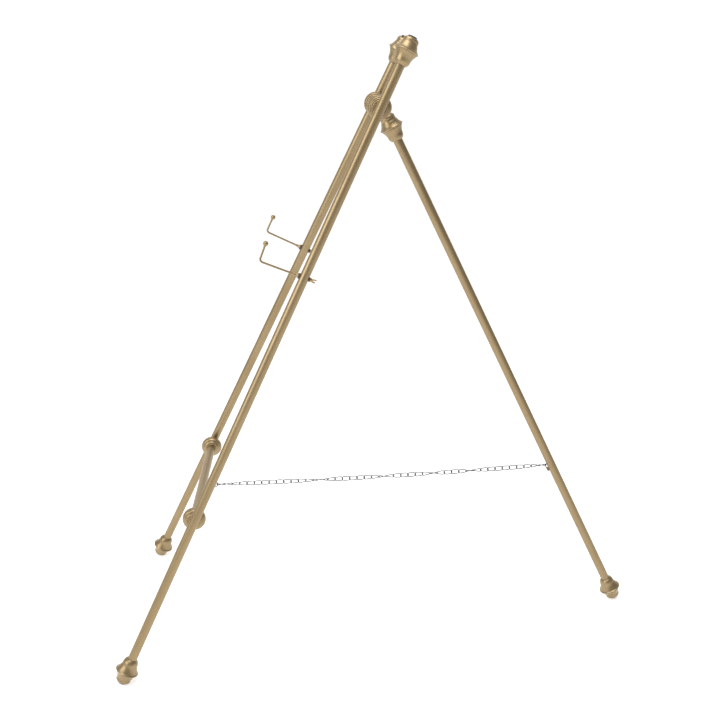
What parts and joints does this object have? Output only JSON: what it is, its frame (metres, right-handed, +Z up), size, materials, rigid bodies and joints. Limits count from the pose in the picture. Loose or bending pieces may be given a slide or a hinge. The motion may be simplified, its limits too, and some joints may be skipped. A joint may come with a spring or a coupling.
{
  "type": "display easel",
  "caption": "Folding floor easel of painted metal tube: a tapering front frame with turned finials and picture hooks, and a hinged rear leg held by a chain.",
  "frame": {"origin": "on the floor, at the middle of the standing easel's bounding box", "axes": "+Z up, +Y from the front legs towards the rear leg, +X from the left leg to the right leg as seen from behind the picture's face side, that is by a viewer in front looking along +Y"},
  "size_m": [0.558, 1.1286, 1.2645],
  "materials": {
    "champagne_paint": "satin champagne gold metallic paint",
    "black_rubber": "matte black rubber",
    "chain_steel": "plated steel wire",
    "dark_fitting": "dark bronze paint",
    "brass_nut": "satin brass",
    "plain_steel": "plain steel",
    "plug_plastic": "matte black plastic"
  },
  "bodies": {
    "front_frame": {"front_leg_left": "champagne_paint", "front_leg_right": "champagne_paint", "top_finial_left": "champagne_paint", "top_finial_right": "champagne_paint", "top_cap_left": "black_rubber", "top_cap_right": "black_rubber", "front_foot_left": "champagne_paint", "front_foot_right": "champagne_paint", "front_foot_pad_left": "black_rubber", "front_foot_pad_right": "black_rubber", "lower_ball_left": "champagne_paint", "lower_ball_right": "champagne_paint", "lower_crossbar": "champagne_paint", "upper_ball_left": "champagne_paint", "upper_ball_right": "champagne_paint", "upper_crossbar": "champagne_paint", "crossbar_end_plugs": "plug_plastic", "crossbar_studs": "plain_steel", "front_chain_eye": "chain_steel", "hinge_stop_rings": "champagne_paint", "hook_front_washer_left": "black_rubber", "hook_front_washer_right": "black_rubber", "hook_rear_washer_left": "black_rubber", "hook_rear_washer_right": "black_rubber"},
    "rear_leg": {"rear_leg_tube": "champagne_paint", "rear_top_finial": "champagne_paint", "hinge_yoke": "champagne_paint", "rear_foot": "champagne_paint", "rear_foot_pad": "black_rubber", "rear_chain_loop": "dark_fitting"},
    "chain_front_run": {"chain_front_run": "chain_steel"},
    "chain_turn_front": {"chain_turn_front": "chain_steel"},
    "chain_turn_rear": {"chain_turn_rear": "chain_steel"},
    "chain_rear_run": {"chain_rear_run": "chain_steel"},
    "hook_left": {"hook_rod_left": "champagne_paint", "hook_tip_left": "champagne_paint", "hook_collar_left": "champagne_paint"},
    "wing_nut_left": {"wing_nut_left": "brass_nut"},
    "hook_right": {"hook_rod_right": "champagne_paint", "hook_tip_right": "champagne_paint", "hook_collar_right": "champagne_paint"},
    "wing_nut_right": {"wing_nut_right": "brass_nut"}
  },
  "joints": [
    {"name": "rear_leg_fold", "type": "hinge", "parent": "front_frame", "child": "rear_leg", "pos_m": [0, -0.01111, 1.13327], "axis": [-1, 0, 0], "range_deg": [0, 47.4]},
    {"name": "chain_front_swing", "type": "hinge", "parent": "front_frame", "child": "chain_front_run", "pos_m": [0, -0.36617, 0.32109], "axis": [-1, 0, 0], "range_deg": [0, 120.56], "deforming": ["chain_front_run"]},
    {"name": "chain_turn_front_bend", "type": "hinge", "parent": "chain_front_run", "child": "chain_turn_front", "pos_m": [0, -0.02217, 0.32987], "axis": [1, 0, 0], "range_deg": [0, 79.19], "deforming": ["chain_turn_front"]},
    {"name": "chain_rear_swing", "type": "hinge", "parent": "rear_leg", "child": "chain_rear_run", "pos_m": [0, 0.37083, 0.3495], "axis": [1, 0, 0], "range_deg": [0, 105.58], "deforming": ["chain_rear_run"]},
    {"name": "chain_turn_rear_bend", "type": "hinge", "parent": "chain_rear_run", "child": "chain_turn_rear", "pos_m": [0, 0.01049, 0.33111], "axis": [-1, 0, 0], "range_deg": [0, 73.64], "deforming": ["chain_turn_rear"]},
    {"name": "hook_left_swivel", "type": "hinge", "parent": "front_frame", "child": "hook_left", "pos_m": [-0.13173, -0.16094, 0.82111], "axis": [0, -0.9015, 0.4327], "continuous": true},
    {"name": "wing_nut_left_spin", "type": "hinge", "parent": "hook_left", "child": "wing_nut_left", "pos_m": [-0.13173, -0.16094, 0.82111], "axis": [0, 0.9015, -0.4327], "range_deg": [0, 2160]},
    {"name": "hook_right_swivel", "type": "hinge", "parent": "front_frame", "child": "hook_right", "pos_m": [0.13173, -0.16094, 0.82111], "axis": [0, -0.9295, 0.3688], "continuous": true},
    {"name": "wing_nut_right_spin", "type": "hinge", "parent": "hook_right", "child": "wing_nut_right", "pos_m": [0.13173, -0.16094, 0.82111], "axis": [0, 0.9295, -0.3688], "range_deg": [0, 2160]}
  ],
  "couplings": [
    {"joint": "chain_front_swing", "follows": "rear_leg_fold", "ratio": 2.5414},
    {"joint": "chain_turn_front_bend", "follows": "rear_leg_fold", "ratio": 1.6686},
    {"joint": "chain_rear_swing", "follows": "rear_leg_fold", "ratio": 2.2253},
    {"joint": "chain_turn_rear_bend", "follows": "rear_leg_fold", "ratio": 1.5515}
  ]
}
